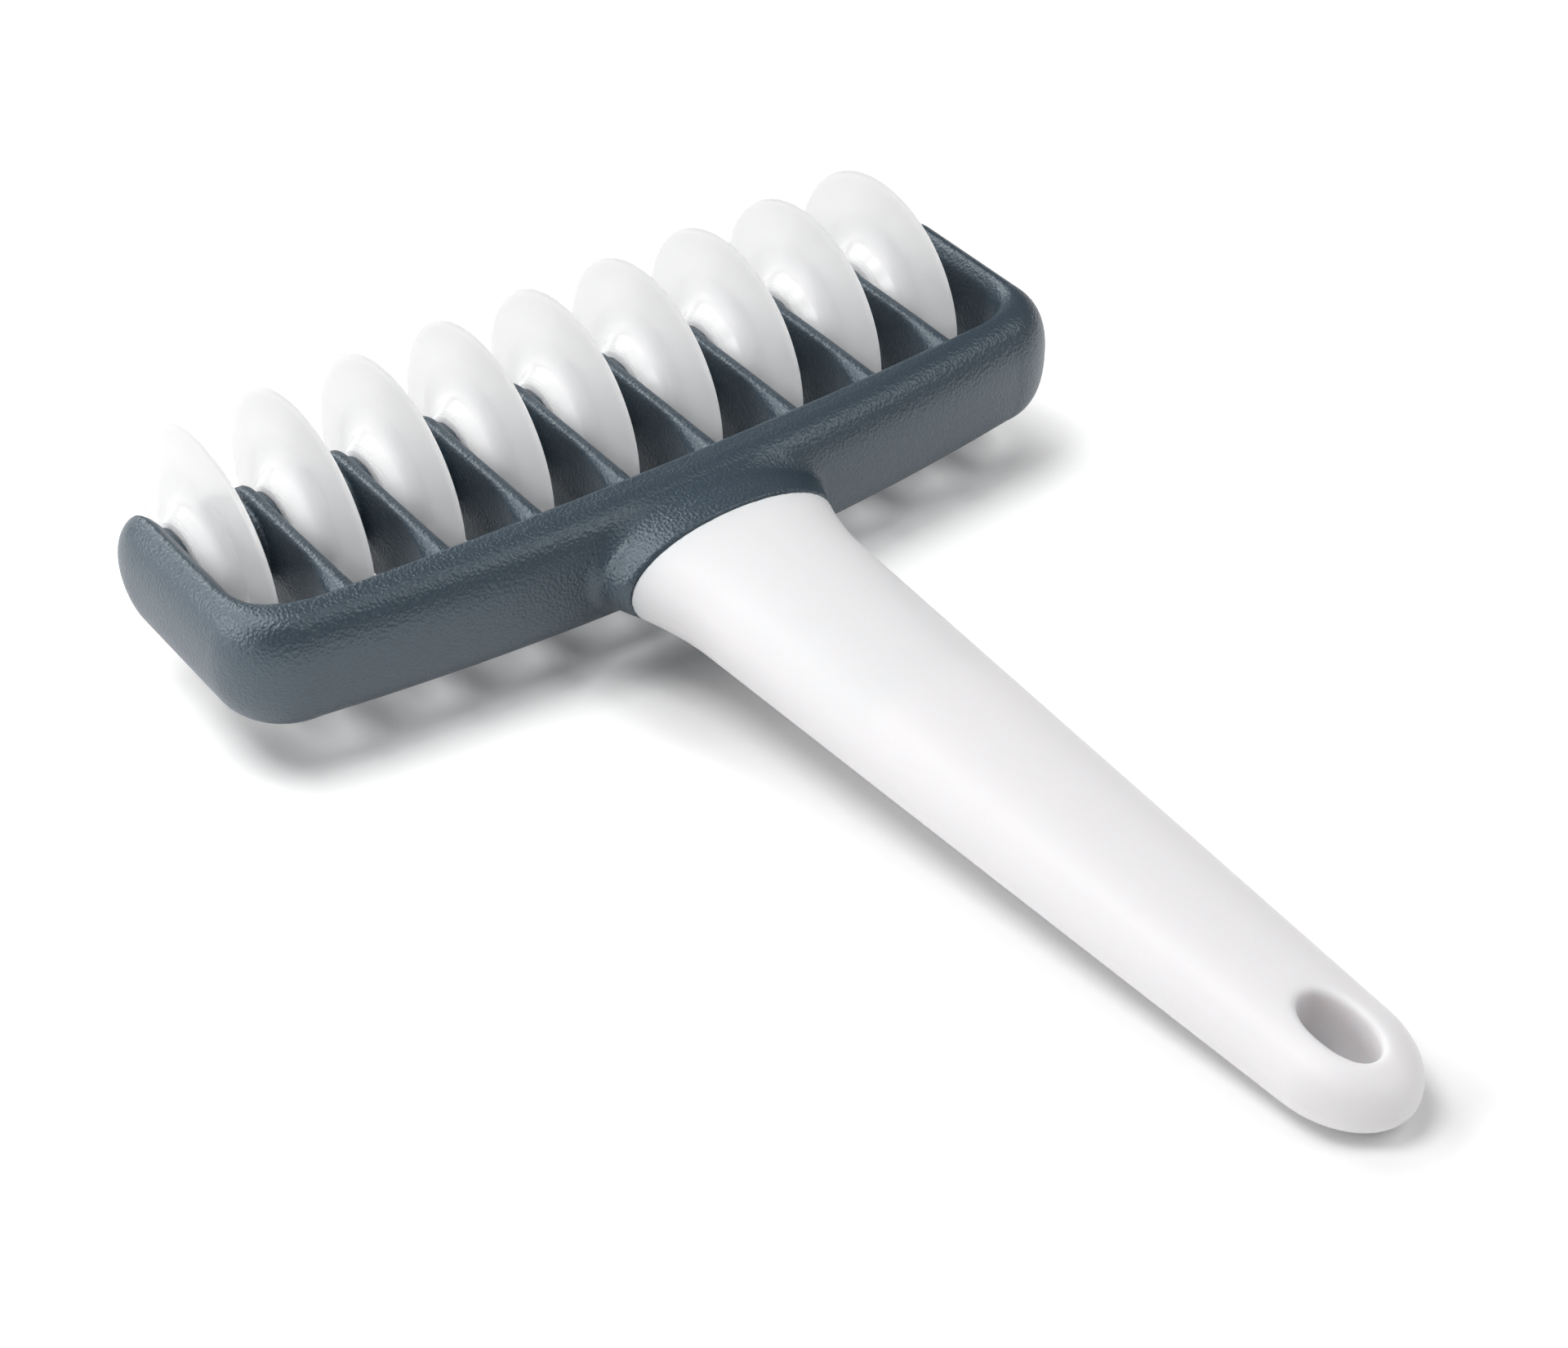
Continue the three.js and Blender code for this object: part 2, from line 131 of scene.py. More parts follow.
class HandleSizes(bpy.types.PropertyGroup):
    """Sizes of the handle, with distances measured back from the axle."""

    front: length("Front", "From the axle back to the handle's front face", 40.3)
    end_start: length("End start", "Where the handle's round end begins", 153.3)
    end_length: length("End length", "Length of the round end", 11.0)
    grip_half_width: length("Grip half width", "Half the width of the grip at its front", 14.4)
    tail_half_width: length("Tail half width", "Half the width at the hang hole", 8.6)
    flare_width: length("Flare width", "How much the head flares out at the joint on each side", 2.1)
    flare_length: length("Flare length", "Length of the flare behind the joint", 12.0)
    grip_half_height: length("Grip half height", "Half the height at the joint", 7.9)
    tail_half_height: length("Tail half height", "Half the height at the hang hole", 5.1)
    hole_place: length("Hole place", "From the axle back to the middle of the hang hole", 153.1)
    hole_half_width: length("Hole half width", "Half the width of the hang hole", 3.2)
    hole_half_length: length("Hole half length", "Half the length of the hang hole", 5.7)
    hole_round: length("Hole edge", "Radius of the hang hole's edges", 1.0)
    joint_round: length("Joint edge", "Radius of the edge at the joint", 0.35)
    socket_half_width: length("Socket half width", "Half the width of the socket for the tang", 8.3)
    socket_half_height: length("Socket half height", "Half the height of the socket", 4.3)
    socket_end: length("Socket end", "From the axle back to the bottom of the socket", 80.3)


class DiscSizes(bpy.types.PropertyGroup):
    """Sizes of one cutting disc."""

    radius: length("Radius", "Radius of the cutting rim", 18.7)
    rim_edge: length("Rim edge", "Half the thickness of the blunt cutting rim", 0.08)
    rim_bevel: length("Rim bevel", "Height of the bevel behind the rim", 0.4)
    web_edge: length("Web edge", "Half the thickness of the web at the bevel", 0.3)
    web_root: length("Web root", "Half the thickness of the web at the flare", 1.0)
    hub_radius: length("Hub radius", "Radius of the hub's end", 6.3)
    hub_half: length("Hub half", "Half the length of the hub", 4.2)
    hub_step: length("Hub step", "Depth of the fine turned steps at the hub's end", 0.05)
    cone_radius: length("Cone radius", "Radius where the hub's cone ends", 7.9)
    cone_half: length("Cone half", "From the middle of the disc to where the hub's cone ends", 2.1)
    flare_radius: length("Flare radius", "Radius where the hub's flare meets the web", 12.4)
    bore_radius: length("Bore radius", "Radius of the bore", 1.58)


class PlugSizes(bpy.types.PropertyGroup):
    """Sizes of the plug in the right-hand arm."""

    inner_face: length("Inner face", "From the middle to the plug's inner face", 66.7)
    outer_face: length("Outer face", "From the middle to the plug's outer face", 68.0)
    radius: length("Radius", "Radius of the plug", 2.5)
    chamfer: length("Chamfer", "Chamfer of the plug's outer edge", 0.3)


class FinishSettings(bpy.types.PropertyGroup):
    """Colours and surface of the finishes."""

    slate: colour("Slate", "Colour of the frame's plastic", (0.018, 0.034, 0.050))
    slate_lighter: colour("Slate, lighter", "Lighter tone in the frame's plastic", (0.024, 0.042, 0.060))
    slate_sheen: colour("Slate sheen", "Tint of the frame's highlights", (0.84, 0.94, 1.0))
    white: colour("White", "Colour of the handle's plastic", (0.83, 0.82, 0.83))
    disc: colour("Disc", "Colour of the discs' plastic", (0.80, 0.80, 0.805))
    steel: colour("Steel", "Colour of the axle", (0.46, 0.48, 0.50))
    grain: length("Grain", "Size of the grain in the frame's surface", 0.34)
    parting: length("Parting line", "Height of the moulds' parting line above the middle", -2.0)


class StudioSettings(bpy.types.PropertyGroup):
    """Camera, lamps and floor."""

    azimuth: angle("Azimuth", "Turn of the camera about the upright axis", math.radians(-35.439))
    elevation: angle("Elevation", "Height of the camera above the horizon", math.radians(34.947))
    roll: angle("Roll", "Tilt of the picture", math.radians(-2.501))
    offset_right: length("Offset right", "Sideways place of the axle in the picture", -30.95)
    offset_up: length("Offset up", "Upward place of the axle in the picture", 36.15)
    distance: length("Distance", "From the camera to the axle", 446.78)
    focal: share("Focal length", "Focal length of the lens in millimetres", 73.09)
    world: share("World light", "Strength of the light from all round", 0.22)
    key: share("Key lamp", "Power of the lamp behind the tool", 4.6)
    left: share("Left lamp", "Power of the wide lamp on the left", 3.4)
    top: share("Top lamp", "Power of the lamp overhead", 4.4)
    right: share("Right lamp", "Power of the lamp in front on the right", 3.0)
    fill: share("Fill lamp", "Power of the lamp that lights the discs alone", 6.4)
    sheen: share("Sheen lamp", "Power of the lamp that lights the comb frame alone", 5.0)
    floor: colour("Floor", "Colour of the floor", (0.97, 0.97, 0.97))


# Formulas in node trees


class Formula:
    """A number in a node tree, worked with like an ordinary one."""

    def __init__(self, tree, socket):
        self.tree = tree
        self.socket = socket

    def math(self, operation, *others):
        """A math node fed by this number and others."""
        node = self.tree.nodes.new("ShaderNodeMath")
        node.operation = operation
        for place, value in zip(node.inputs, (self, *others)):
            if isinstance(value, Formula):
                self.tree.links.new(value.socket, place)
            else:
                place.default_value = value
        return Formula(self.tree, node.outputs[0])

    def plain(self, value):
        """A bare number as a formula of the same tree."""
        node = self.tree.nodes.new("ShaderNodeValue")
        node.outputs[0].default_value = value
        return Formula(self.tree, node.outputs[0])

    def __add__(self, other):
        return self.math("ADD", other)

    __radd__ = __add__

    def __sub__(self, other):
        return self.math("SUBTRACT", other)

    def __rsub__(self, other):
        return self.math("MULTIPLY_ADD", -1.0, other)

    def __mul__(self, other):
        return self.math("MULTIPLY", other)

    __rmul__ = __mul__

    def __truediv__(self, other):
        return self.math("DIVIDE", other)

    def __rtruediv__(self, other):
        return self.plain(other) / self

    def __neg__(self):
        return self.math("MULTIPLY", -1.0)

    def at_least(self, other):
        return self.math("MAXIMUM", other)

    def at_most(self, other):
        return self.math("MINIMUM", other)

    def positive(self):
        return self.math("ABSOLUTE")

    def power(self, exponent):
        return self.math("POWER", exponent)


def across(a, b):
    """The length of a vector with two parts."""
    return (a * a + b * b).math("SQRT")


def round_cut(a, b, radius):
    """What lies inside both shapes, with a rounded edge."""
    corner = across((a + radius).at_least(0.0), (b + radius).at_least(0.0))
    return a.at_least(b).at_most(-radius) + corner


def round_join(a, b, radius):
    """What lies inside either shape, with a fillet between them."""
    corner = across((radius - a).at_least(0.0), (radius - b).at_least(0.0))
    return a.at_most(b).at_least(radius) - corner


def closeness(distance, reach):
    """One on a surface and inside it, fading to nothing at a reach from it."""
    left = 1.0 - (distance.at_least(0.0) / reach).at_most(1.0)
    return left * left


def oval(x, z, half_width, half_height, fullness):
    """Distance to a superellipse, true near its edge."""
    u = (x.positive() / half_width).at_least(OVAL_CORE)
    v = (z.positive() / half_height).at_least(OVAL_CORE)
    ring = (u.power(fullness) + v.power(fullness)).power(1.0 / fullness)
    slope_x = (u / ring).power(fullness - 1.0) / half_width
    slope_z = (v / ring).power(fullness - 1.0) / half_height
    return (ring - 1.0) / across(slope_x, slope_z)


OVAL_CORE = 1e-4
JOINT_FULLNESS = 2.1
TAIL_FULLNESS = 2.5
END_FULLNESS = 2.3
HOLE_FULLNESS = 2.2


# Shapes of the two mouldings, as distances in the tool's own frame: x along the axle, y ahead, z up


def comb_frame_shape(x, y, z, size):
    """The comb frame: wall, ribs, bosses, neck and tang."""
    back = -y
    side_x = (x - size.wall_shift).positive()
    arm_inner = size.half_width - size.arm_width
    about_axle = across(y, z)
    reach = across(y.at_least(0.0), z)
    bow_half = size.half_width - size.outer_corner
    bow = (side_x.at_most(bow_half) / bow_half).power(2.0)
    bar_inner = size.bar_distance - bow * size.bar_bow
    bar_outer = size.bar_distance + size.bar_depth - bow * size.outer_bow
    outer = round_cut(side_x - size.half_width, back - bar_outer, size.outer_corner)
    cavity = round_cut(side_x - arm_inner, back - bar_inner, size.inner_corner)
    rib_index = (x / size.rib_spacing).math("FLOOR").at_least(-LAST_RIB - 1.0).at_most(LAST_RIB)
    from_rib = (x - (rib_index + 0.5) * size.rib_spacing).positive()
    draft = (z - size.parting).positive() * MOULD_DRAFT
    top = reach - size.half_height
    inner_edge = size.inner_round + size.corner_round * closeness(arm_inner - side_x, size.corner_reach)
    wall = round_cut(draft - cavity, top, inner_edge)
    spread = size.rib_spread * closeness(bar_inner - back, size.spread_reach)
    rib_side = from_rib - (size.rib_width * 0.5 + spread)
    rib_walls = round_join(-cavity, rib_side, size.root_fillet) + draft
    ribs = round_cut(rib_walls, top + size.rib_drop, size.rib_round + spread * ROOT_SOFTNESS)
    bulge = (outer + size.outer_depth).at_least(0.0)
    flank = oval(bulge, reach, size.outer_depth, size.half_height, FLANK_FULLNESS)
    body = round_join(wall, ribs, ROOT_SEAM).at_least(flank)
    boss = round_cut(about_axle - size.boss_radius, from_rib - size.boss_reach, size.boss_round)
    arm_boss = round_cut(about_axle - size.boss_radius, size.arm_boss - x.positive(), size.boss_round)
    arm_boss = arm_boss.at_least(side_x - (size.half_width - size.arm_width * 0.5))
    body = round_join(body, boss.at_most(arm_boss), size.boss_round)
    neck_root = size.bar_distance + size.bar_depth * NECK_ROOT_SHARE
    along = ((back - neck_root) / (size.joint_distance - neck_root)).at_least(0.0).at_most(1.0)
    flare = size.neck_flare * (1.0 - along * along)
    section = oval(x, z, size.neck_half_width + flare, size.neck_half_height, JOINT_FULLNESS)
    neck = round_cut(section, back - size.joint_distance, size.joint_round).at_least(neck_root - back)
    body = round_join(body, neck, size.neck_fillet)
    tang = round_cut(side_x - size.tang_half_width, z.positive() - size.tang_half_height, TANG_ROUND)
    tang = round_cut(tang, back - size.tang_end, TANG_ROUND).at_least(neck_root - back)
    body = body.at_most(tang)
    recess_floor = size.half_width + size.wall_shift - size.plug_depth
    bore = (about_axle - size.bore_radius).at_least(size.plug_depth - size.half_width - x)
    recess = (about_axle - size.plug_bore).at_least(recess_floor - x)
    return body.at_least(-bore.at_most(recess))


LAST_RIB = 3.0
NECK_ROOT_SHARE = 0.8
ROOT_SOFTNESS = 2.0
FLANK_FULLNESS = 2.5
MOULD_DRAFT = 0.045
ROOT_SEAM = 0.3 * MM
TANG_ROUND = 1.5 * MM


def handle_shape(x, y, z, size):
    """The handle: a tapered oval bar with a flared head, a round end, a hang hole and a socket."""
    back = -y
    along = back - size.front
    taper_length = size.hole_place - size.front
    flare = (1.0 - along / size.flare_length).at_least(0.0)
    narrowing = (size.grip_half_width - size.tail_half_width) / taper_length
    half_width = size.grip_half_width - narrowing * along + flare * flare * size.flare_width
    lowering = (size.grip_half_height - size.tail_half_height) / taper_length
    half_height = size.grip_half_height - lowering * along
    beyond = ((back - size.end_start) / size.end_length).at_least(0.0).at_most(END_REACH)
    end_width = (1.0 - beyond.power(2.0)).math("SQRT")
    end_height = (1.0 - beyond.power(END_FULLNESS)).power(1.0 / END_FULLNESS)
    whole_length = size.end_start + size.end_length
    fullness = (along / whole_length) * (TAIL_FULLNESS - JOINT_FULLNESS) + JOINT_FULLNESS
    section = oval(x, z, half_width * end_width, half_height * end_height, fullness)
    body = section.at_least(back - whole_length)
    body = round_cut(body, -along, size.joint_round)
    hole = oval(x, back - size.hole_place, size.hole_half_width, size.hole_half_length, HOLE_FULLNESS)
    body = round_cut(body, -hole, size.hole_round)
    socket_x = x.positive() - size.socket_half_width
    socket_z = z.positive() - size.socket_half_height
    socket = round_cut(socket_x, socket_z, TANG_ROUND)
    return body.at_least(-socket.at_least(back - size.socket_end))


END_REACH = 0.9995


# Node trees


def keys_of(sizes_class):
    """The names of a property group's own properties."""
    return list(sizes_class.__annotations__)


def add_inputs(tree, sizes_class):
    """One named input for each size."""
    for prop in sizes_class.__annotations__.values():
        label = prop.keywords["name"]
        socket = tree.interface.new_socket(label, in_out="INPUT", socket_type="NodeSocketFloat")
        socket.default_value = prop.keywords["default"]
        socket.description = prop.keywords["description"]


class SizeSet:
    """The sizes that enter a tree, as formulas named by their properties."""

    def __init__(self, tree, sizes_class):
        self.entry = tree.nodes.new("NodeGroupInput")
        for key, prop in sizes_class.__annotations__.items():
            setattr(self, key, Formula(tree, self.entry.outputs[prop.keywords["name"]]))


def distance_tree(name, sizes_class, shape):
    """A group that gives the distance from a place to a shape's surface."""
    tree = bpy.data.node_groups.new(name, "GeometryNodeTree")
    tree.interface.new_socket("Place", in_out="INPUT", socket_type="NodeSocketVector")
    add_inputs(tree, sizes_class)
    tree.interface.new_socket("Distance", in_out="OUTPUT", socket_type="NodeSocketFloat")
    size = SizeSet(tree, sizes_class)
    split = tree.nodes.new("ShaderNodeSeparateXYZ")
    tree.links.new(size.entry.outputs["Place"], split.inputs[0])
    x, y, z = (Formula(tree, part) for part in split.outputs)
    outlet = tree.nodes.new("NodeGroupOutput")
    tree.links.new(shape(x, y, z, size).socket, outlet.inputs["Distance"])
    return tree


SETTLE_ROUNDS = 3
SETTLE_STEP = 0.04 * MM


class NodeMaker:
    """Something with a node tree, which it adds nodes and links to."""

    def node(self, kind, **settings):
        made = self.tree.nodes.new(kind)
        for key, value in settings.items():
            setattr(made, key, value)
        return made

    def link(self, source, target):
        self.tree.links.new(source, target)


class MouldingTree(NodeMaker):
    """A tree that meshes a shape from its distances and lays it on the table as the tool rests."""

    def __init__(self, name, sizes_class, shape):
        self.sizes_class = sizes_class
        self.group = distance_tree(name + " Distance", sizes_class, shape)
        self.tree = bpy.data.node_groups.new(name, "GeometryNodeTree")
        add_inputs(self.tree, sizes_class)
        for label, kind in PLACING_INPUTS:
            self.tree.interface.new_socket(label, in_out="INPUT", socket_type=kind)
        self.tree.interface.new_socket("Geometry", in_out="OUTPUT", socket_type="NodeSocketGeometry")
        self.entry = self.node("NodeGroupInput")
        self.build()

    def distance(self, place):
        """The distance at a place, from the group."""
        call = self.node("GeometryNodeGroup", node_tree=self.group)
        self.link(place, call.inputs["Place"])
        for prop in self.sizes_class.__annotations__.values():
            label = prop.keywords["name"]
            self.link(self.entry.outputs[label], call.inputs[label])
        return Formula(self.tree, call.outputs["Distance"])

    def settled(self, geometry):
        """Moves the points along the slope of the distance on to the surface."""
        place = self.node("GeometryNodeInputPosition").outputs[0]
        here = self.distance(place)
        slopes = []
        for axis in range(3):
            step = [0.0, 0.0, 0.0]
            step[axis] = SETTLE_STEP
            ahead = self.node("ShaderNodeVectorMath", operation="ADD")
            self.link(place, ahead.inputs[0])
            ahead.inputs[1].default_value = step
            slopes.append((self.distance(ahead.outputs[0]) - here) / SETTLE_STEP)
        steepness = slopes[0] * slopes[0] + slopes[1] * slopes[1] + slopes[2] * slopes[2]
        reach = -here / steepness.at_least(LEAST_STEEPNESS)
        offset = self.node("ShaderNodeCombineXYZ")
        for slope, part in zip(slopes, offset.inputs):
            self.link((slope * reach).socket, part)
        move = self.node("GeometryNodeSetPosition")
        self.link(geometry, move.inputs["Geometry"])
        self.link(offset.outputs[0], move.inputs["Offset"])
        return move.outputs[0]

    def build(self):
        """Meshes the shape in a box, settles it and lays it down."""
        cube = self.node("GeometryNodeVolumeCube")
        place = self.node("GeometryNodeInputPosition").outputs[0]
        self.link((-self.distance(place)).socket, cube.inputs["Density"])
        cube.inputs["Background"].default_value = OUTSIDE
        for label, target in (("Low Corner", "Min"), ("High Corner", "Max")):
            self.link(self.entry.outputs[label], cube.inputs[target])
        for axis in "XYZ":
            self.link(self.entry.outputs["Steps " + axis], cube.inputs["Resolution " + axis])
        skin = self.node("GeometryNodeVolumeToMesh")
        self.link(cube.outputs[0], skin.inputs["Volume"])
        skin.inputs["Threshold"].default_value = 0.0
        geometry = skin.outputs[0]
        for _ in range(SETTLE_ROUNDS):
            geometry = self.settled(geometry)
        lay = self.node("GeometryNodeTransform")
        self.link(geometry, lay.inputs["Geometry"])
        self.link(self.entry.outputs["Axle"], lay.inputs["Translation"])
        self.link(self.entry.outputs["Rest Turn"], lay.inputs["Rotation"])
        smooth = self.node("GeometryNodeSetShadeSmooth")
        self.link(lay.outputs[0], smooth.inputs["Geometry"])
        finish_tree(self.tree, smooth.outputs[0], self.entry.outputs["Finish"])


LEAST_STEEPNESS = 1e-3
OUTSIDE = -1.0
PLACING_INPUTS = (
    ("Low Corner", "NodeSocketVector"),
    ("High Corner", "NodeSocketVector"),
    ("Steps X", "NodeSocketInt"),
    ("Steps Y", "NodeSocketInt"),
    ("Steps Z", "NodeSocketInt"),
    ("Axle", "NodeSocketVector"),
    ("Rest Turn", "NodeSocketRotation"),
    ("Finish", "NodeSocketMaterial"),
)


def finish_tree(tree, geometry, material):
    """Ends a tree with real geometry in its finish."""
    real = tree.nodes.new("GeometryNodeRealizeInstances")
    tree.links.new(geometry, real.inputs["Geometry"])
    dress = tree.nodes.new("GeometryNodeSetMaterial")
    tree.links.new(real.outputs[0], dress.inputs["Geometry"])
    tree.links.new(material, dress.inputs["Material"])
    outlet = tree.nodes.new("NodeGroupOutput")
    tree.links.new(dress.outputs[0], outlet.inputs["Geometry"])


def turned_tree(name, sizes_class, zones):
    """A tree that turns zones of a profile about the X axis and joins them."""
    tree = bpy.data.node_groups.new(name, "GeometryNodeTree")
    add_inputs(tree, sizes_class)
    tree.interface.new_socket("Axle", in_out="INPUT", socket_type="NodeSocketVector")
    tree.interface.new_socket("Finish", in_out="INPUT", socket_type="NodeSocketMaterial")
    tree.interface.new_socket("Geometry", in_out="OUTPUT", socket_type="NodeSocketGeometry")
    size = SizeSet(tree, sizes_class)
    join = tree.nodes.new("GeometryNodeJoinGeometry")
    for steps, profile in zones(size):
        tree.links.new(turned_zone(tree, steps, profile), join.inputs[0])
    weld = tree.nodes.new("GeometryNodeMergeByDistance")
    tree.links.new(join.outputs[0], weld.inputs["Geometry"])
    weld.inputs["Distance"].default_value = WELD_DISTANCE
    place = tree.nodes.new("GeometryNodeTransform")
    tree.links.new(weld.outputs[0], place.inputs["Geometry"])
    tree.links.new(size.entry.outputs["Axle"], place.inputs["Translation"])
    smooth = tree.nodes.new("GeometryNodeSetShadeSmooth")
    tree.links.new(place.outputs[0], smooth.inputs["Geometry"])
    edge = tree.nodes.new("GeometryNodeInputMeshEdgeAngle")
    sharp = Formula(tree, edge.outputs["Unsigned Angle"]).math("GREATER_THAN", SHARP_ANGLE)
    crease = tree.nodes.new("GeometryNodeSetShadeSmooth")
    crease.domain = "EDGE"
    tree.links.new(smooth.outputs[0], crease.inputs["Geometry"])
    tree.links.new(sharp.socket, crease.inputs["Selection"])
    crease.inputs["Shade Smooth"].default_value = False
    finish_tree(tree, crease.outputs[0], size.entry.outputs["Finish"])
    return tree


def turned_zone(tree, steps, profile):
    """One zone of a turned piece, whose profile gives the place along the axle and the radius."""
    grid = tree.nodes.new("GeometryNodeMeshGrid")
    grid.inputs["Size X"].default_value = 1.0
    grid.inputs["Size Y"].default_value = 1.0
    grid.inputs["Vertices X"].default_value = steps + 1
    grid.inputs["Vertices Y"].default_value = TURN_STEPS + 1
    split = tree.nodes.new("ShaderNodeSeparateXYZ")
    tree.links.new(tree.nodes.new("GeometryNodeInputPosition").outputs[0], split.inputs[0])
    along = Formula(tree, split.outputs[0]) + 0.5
    turn = (Formula(tree, split.outputs[1]) + 0.5) * math.tau
    x, radius = profile(along)
    place = tree.nodes.new("ShaderNodeCombineXYZ")
    tree.links.new(x.socket, place.inputs[0])
    tree.links.new((radius * turn.math("COSINE")).socket, place.inputs[1])
    tree.links.new((radius * turn.math("SINE")).socket, place.inputs[2])
    move = tree.nodes.new("GeometryNodeSetPosition")
    tree.links.new(grid.outputs["Mesh"], move.inputs["Geometry"])
    tree.links.new(place.outputs[0], move.inputs["Position"])
    return move.outputs[0]


TURN_STEPS = 144
WELD_DISTANCE = 1e-6
SHARP_ANGLE = math.radians(38.0)


def between(start, end, along):
    """A straight run from one value to another."""
    return (end - start) * along + start


def disc_zones(size):
    """The zones of a disc: one side from its hub out to the rim, the other side, the rim and the bore."""
    rise = (size.cone_radius - size.hub_radius) / (size.hub_half - size.cone_half)

    def cone(along):
        x = between(size.hub_half, size.cone_half, along)
        near_end = (1.0 - along * (1.0 / HUB_STEP_SHARE)).at_least(0.0)
        ripple = (along * (math.tau * HUB_RINGS / HUB_STEP_SHARE)).math("COSINE") - 1.0
        steps = ripple * size.hub_step * near_end.math("SIGN")
        return x, between(size.hub_radius, size.cone_radius, along) + steps

    def flare(along):
        bend_x, bend_radius = size.web_root, size.cone_radius + rise * (size.cone_half - size.web_root)
        first, second, third = (1.0 - along) * (1.0 - along), 2.0 * along * (1.0 - along), along * along
        x = size.cone_half * first + bend_x * second + size.web_root * third
        return x, size.cone_radius * first + bend_radius * second + size.flare_radius * third

    half = [
        (FACE_STEPS, lambda along: (size.hub_half, between(size.bore_radius, size.hub_radius, along))),
        (CONE_STEPS, cone),
        (FLARE_STEPS, flare),
        (WEB_STEPS, lambda along: (
            between(size.web_root, size.web_edge, along),
            between(size.flare_radius, size.radius - size.rim_bevel, along),
        )),
        (BEVEL_STEPS, lambda along: (
            between(size.web_edge, size.rim_edge, along),
            between(size.radius - size.rim_bevel, size.radius, along),
        )),
    ]
    zones = list(half)
    for steps, profile in half:
        zones.append((steps, mirrored(profile)))
    zones.append((1, lambda along: (between(size.rim_edge, -size.rim_edge, along), size.radius)))
    zones.append((1, lambda along: (between(-size.hub_half, size.hub_half, along), size.bore_radius)))
    return zones


HUB_RINGS = 3.0
HUB_STEP_SHARE = 0.35
FACE_STEPS = 4
CONE_STEPS = 40
FLARE_STEPS = 20
WEB_STEPS = 8
BEVEL_STEPS = 3


def mirrored(profile):
    """The same zone on the other side, walked the other way so that its faces still point outwards."""

    def other_side(along):
        x, radius = profile(1.0 - along)
        return -x, radius

    return other_side


def plug_zones(size):
    """The zones of the plug from its outer face to its inner face."""
    flat = size.radius - size.chamfer
    shoulder = size.outer_face - size.chamfer
    return [
        (PLUG_FACE_STEPS, lambda along: (size.outer_face, between(0.0, flat, along))),
        (PLUG_SIDE_STEPS, lambda along: (
            between(size.outer_face, shoulder, along),
            between(flat, size.radius, along),
        )),
        (PLUG_SIDE_STEPS, lambda along: (between(shoulder, size.inner_face, along), size.radius)),
        (PLUG_FACE_STEPS, lambda along: (size.inner_face, between(size.radius, 0.0, along))),
    ]


PLUG_FACE_STEPS = 3
PLUG_SIDE_STEPS = 2


# Making of pieces


def piece_from_tree(name, tree, values):
    """A plain mesh object made by a tree, with its inputs set by name."""
    made = bpy.data.objects.new(name, bpy.data.meshes.new(name))
    bpy.context.scene.collection.objects.link(made)
    modifier = made.modifiers.new("Build", "NODES")
    modifier.node_group = tree
    for item in tree.interface.items_tree:
        if item.item_type == "SOCKET" and item.in_out == "INPUT" and item.name in values:
            modifier[item.identifier] = values[item.name]
    made.update_tag()
    depsgraph = bpy.context.evaluated_depsgraph_get()
    mesh = bpy.data.meshes.new_from_object(made.evaluated_get(depsgraph), depsgraph=depsgraph)
    made.modifiers.remove(modifier)
    made.data = mesh
    mesh.name = name
    if not mesh.polygons:
        raise RuntimeError(name + " came out with no faces")
    turn_outwards(mesh)
    return made


def turn_outwards(mesh):
    """Flips a closed mesh whose faces point inwards."""
    mesh.calc_loop_triangles()
    volume = 0.0
    points = mesh.vertices
    for triangle in mesh.loop_triangles:
        a, b, c = (points[i].co for i in triangle.vertices)
        volume += a.dot(b.cross(c))
    if volume < 0.0:
        mesh.flip_normals()


def size_values(sizes):
    """The sizes of a property group by the labels of their properties."""
    return {prop.keywords["name"]: getattr(sizes, key) for key, prop in type(sizes).__annotations__.items()}


def moulding(name, tree, sizes, low, high, grain, material):
    """A moulding made by a distance tree, meshed at a grain over a box in the tool's frame."""
    values = size_values(sizes)
    values["Low Corner"] = low
    values["High Corner"] = high
    for axis, start, end in zip("XYZ", low, high):
        values["Steps " + axis] = int(round((end - start) / grain)) + 1
    values["Axle"] = AXLE
    values["Rest Turn"] = (REST_TILT, 0.0, 0.0)
    values["Finish"] = material
    return piece_from_tree(name, tree, values)


def dressed(piece, body, node):
    """Puts a finished piece in the place of its CAD node."""
    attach(piece, body)
    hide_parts(node)


# Finishes


